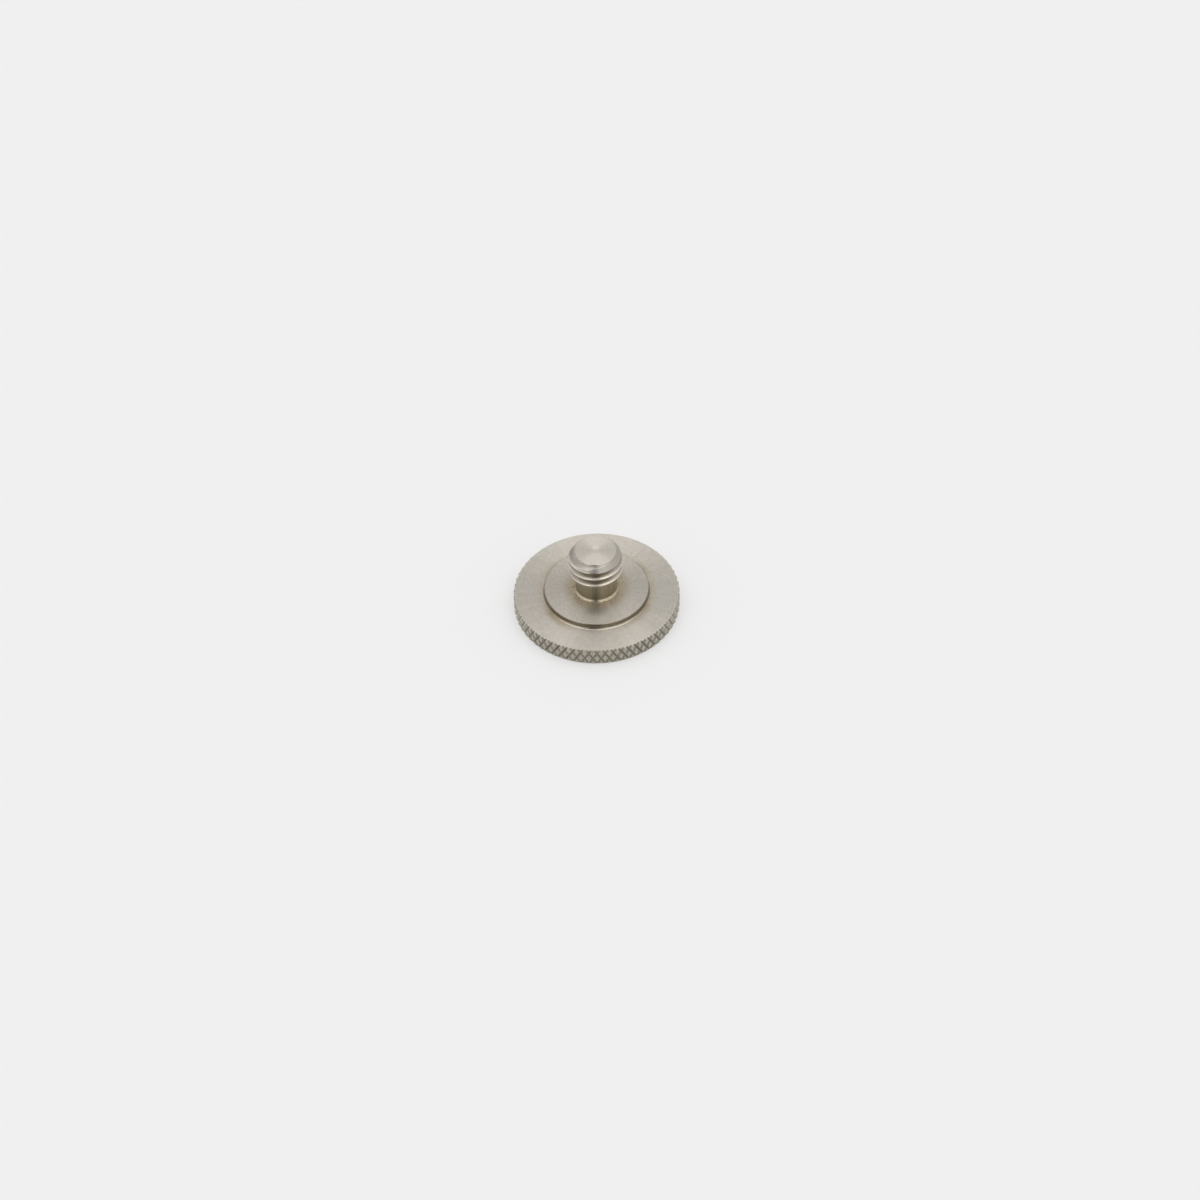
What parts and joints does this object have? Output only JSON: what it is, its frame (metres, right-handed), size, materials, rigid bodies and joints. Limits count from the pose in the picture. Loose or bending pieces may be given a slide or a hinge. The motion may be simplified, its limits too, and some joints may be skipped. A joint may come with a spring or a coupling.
{
  "type": "knurled thumb screw",
  "caption": "One-piece steel thumb screw with a diamond-knurled disc head, a raised round seat, a relieved neck and a short threaded stud with a chamfered end.",
  "frame": {"origin": "centre of the disc head's flat underside, on the screw's axis", "axes": "+Z along the screw's axis, from the head to the end of the stud; -Y towards the viewer of the picture"},
  "size_m": [0.0293, 0.0292, 0.0134],
  "materials": {
    "steel": "turned"
  },
  "bodies": {
    "root": {"thumb_screw": "steel"}
  },
  "joints": []
}
